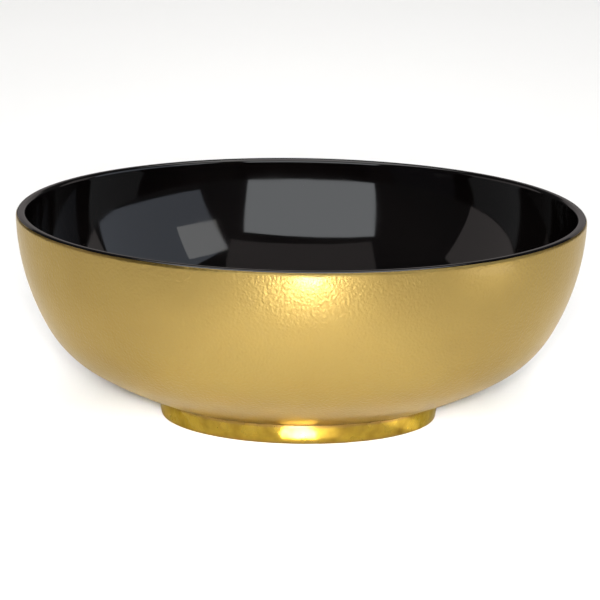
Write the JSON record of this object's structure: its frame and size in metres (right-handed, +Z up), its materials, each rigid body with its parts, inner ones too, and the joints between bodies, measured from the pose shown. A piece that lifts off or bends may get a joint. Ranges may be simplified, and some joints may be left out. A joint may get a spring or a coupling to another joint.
{
  "type": "lacquered bowl",
  "caption": "Wide shallow bowl on a low foot ring, satin gold outside and glossy black inside, for fruit, bread or display.",
  "frame": {"origin": "centre of the circle that the foot ring stands on, at table level", "axes": "+Z up along the axis of revolution, from the foot to the mouth; X and Y are alike, because the bowl is round"},
  "size_m": [0.2498, 0.2498, 0.09],
  "materials": {
    "bamboo": "scraped matt",
    "paste": "rubbed matt",
    "black_lacquer": "polished gloss",
    "gold_lacquer": "satin gold powder in lacquer",
    "gold_leaf": "bright burnished leaf"
  },
  "bodies": {
    "root": {"base_coil": "bamboo", "underside_coil": "bamboo", "shoulder_coil": "bamboo", "rim_coil": "bamboo", "foot_coil": "bamboo", "foot_paste_bed": "paste", "outer_ground_coat": "paste", "inner_ground_coat": "paste", "black_inner_coat": "black_lacquer", "black_underside_coat": "black_lacquer", "gold_wall_coat": "gold_lacquer", "gold_foot_coat": "gold_leaf"}
  },
  "joints": []
}
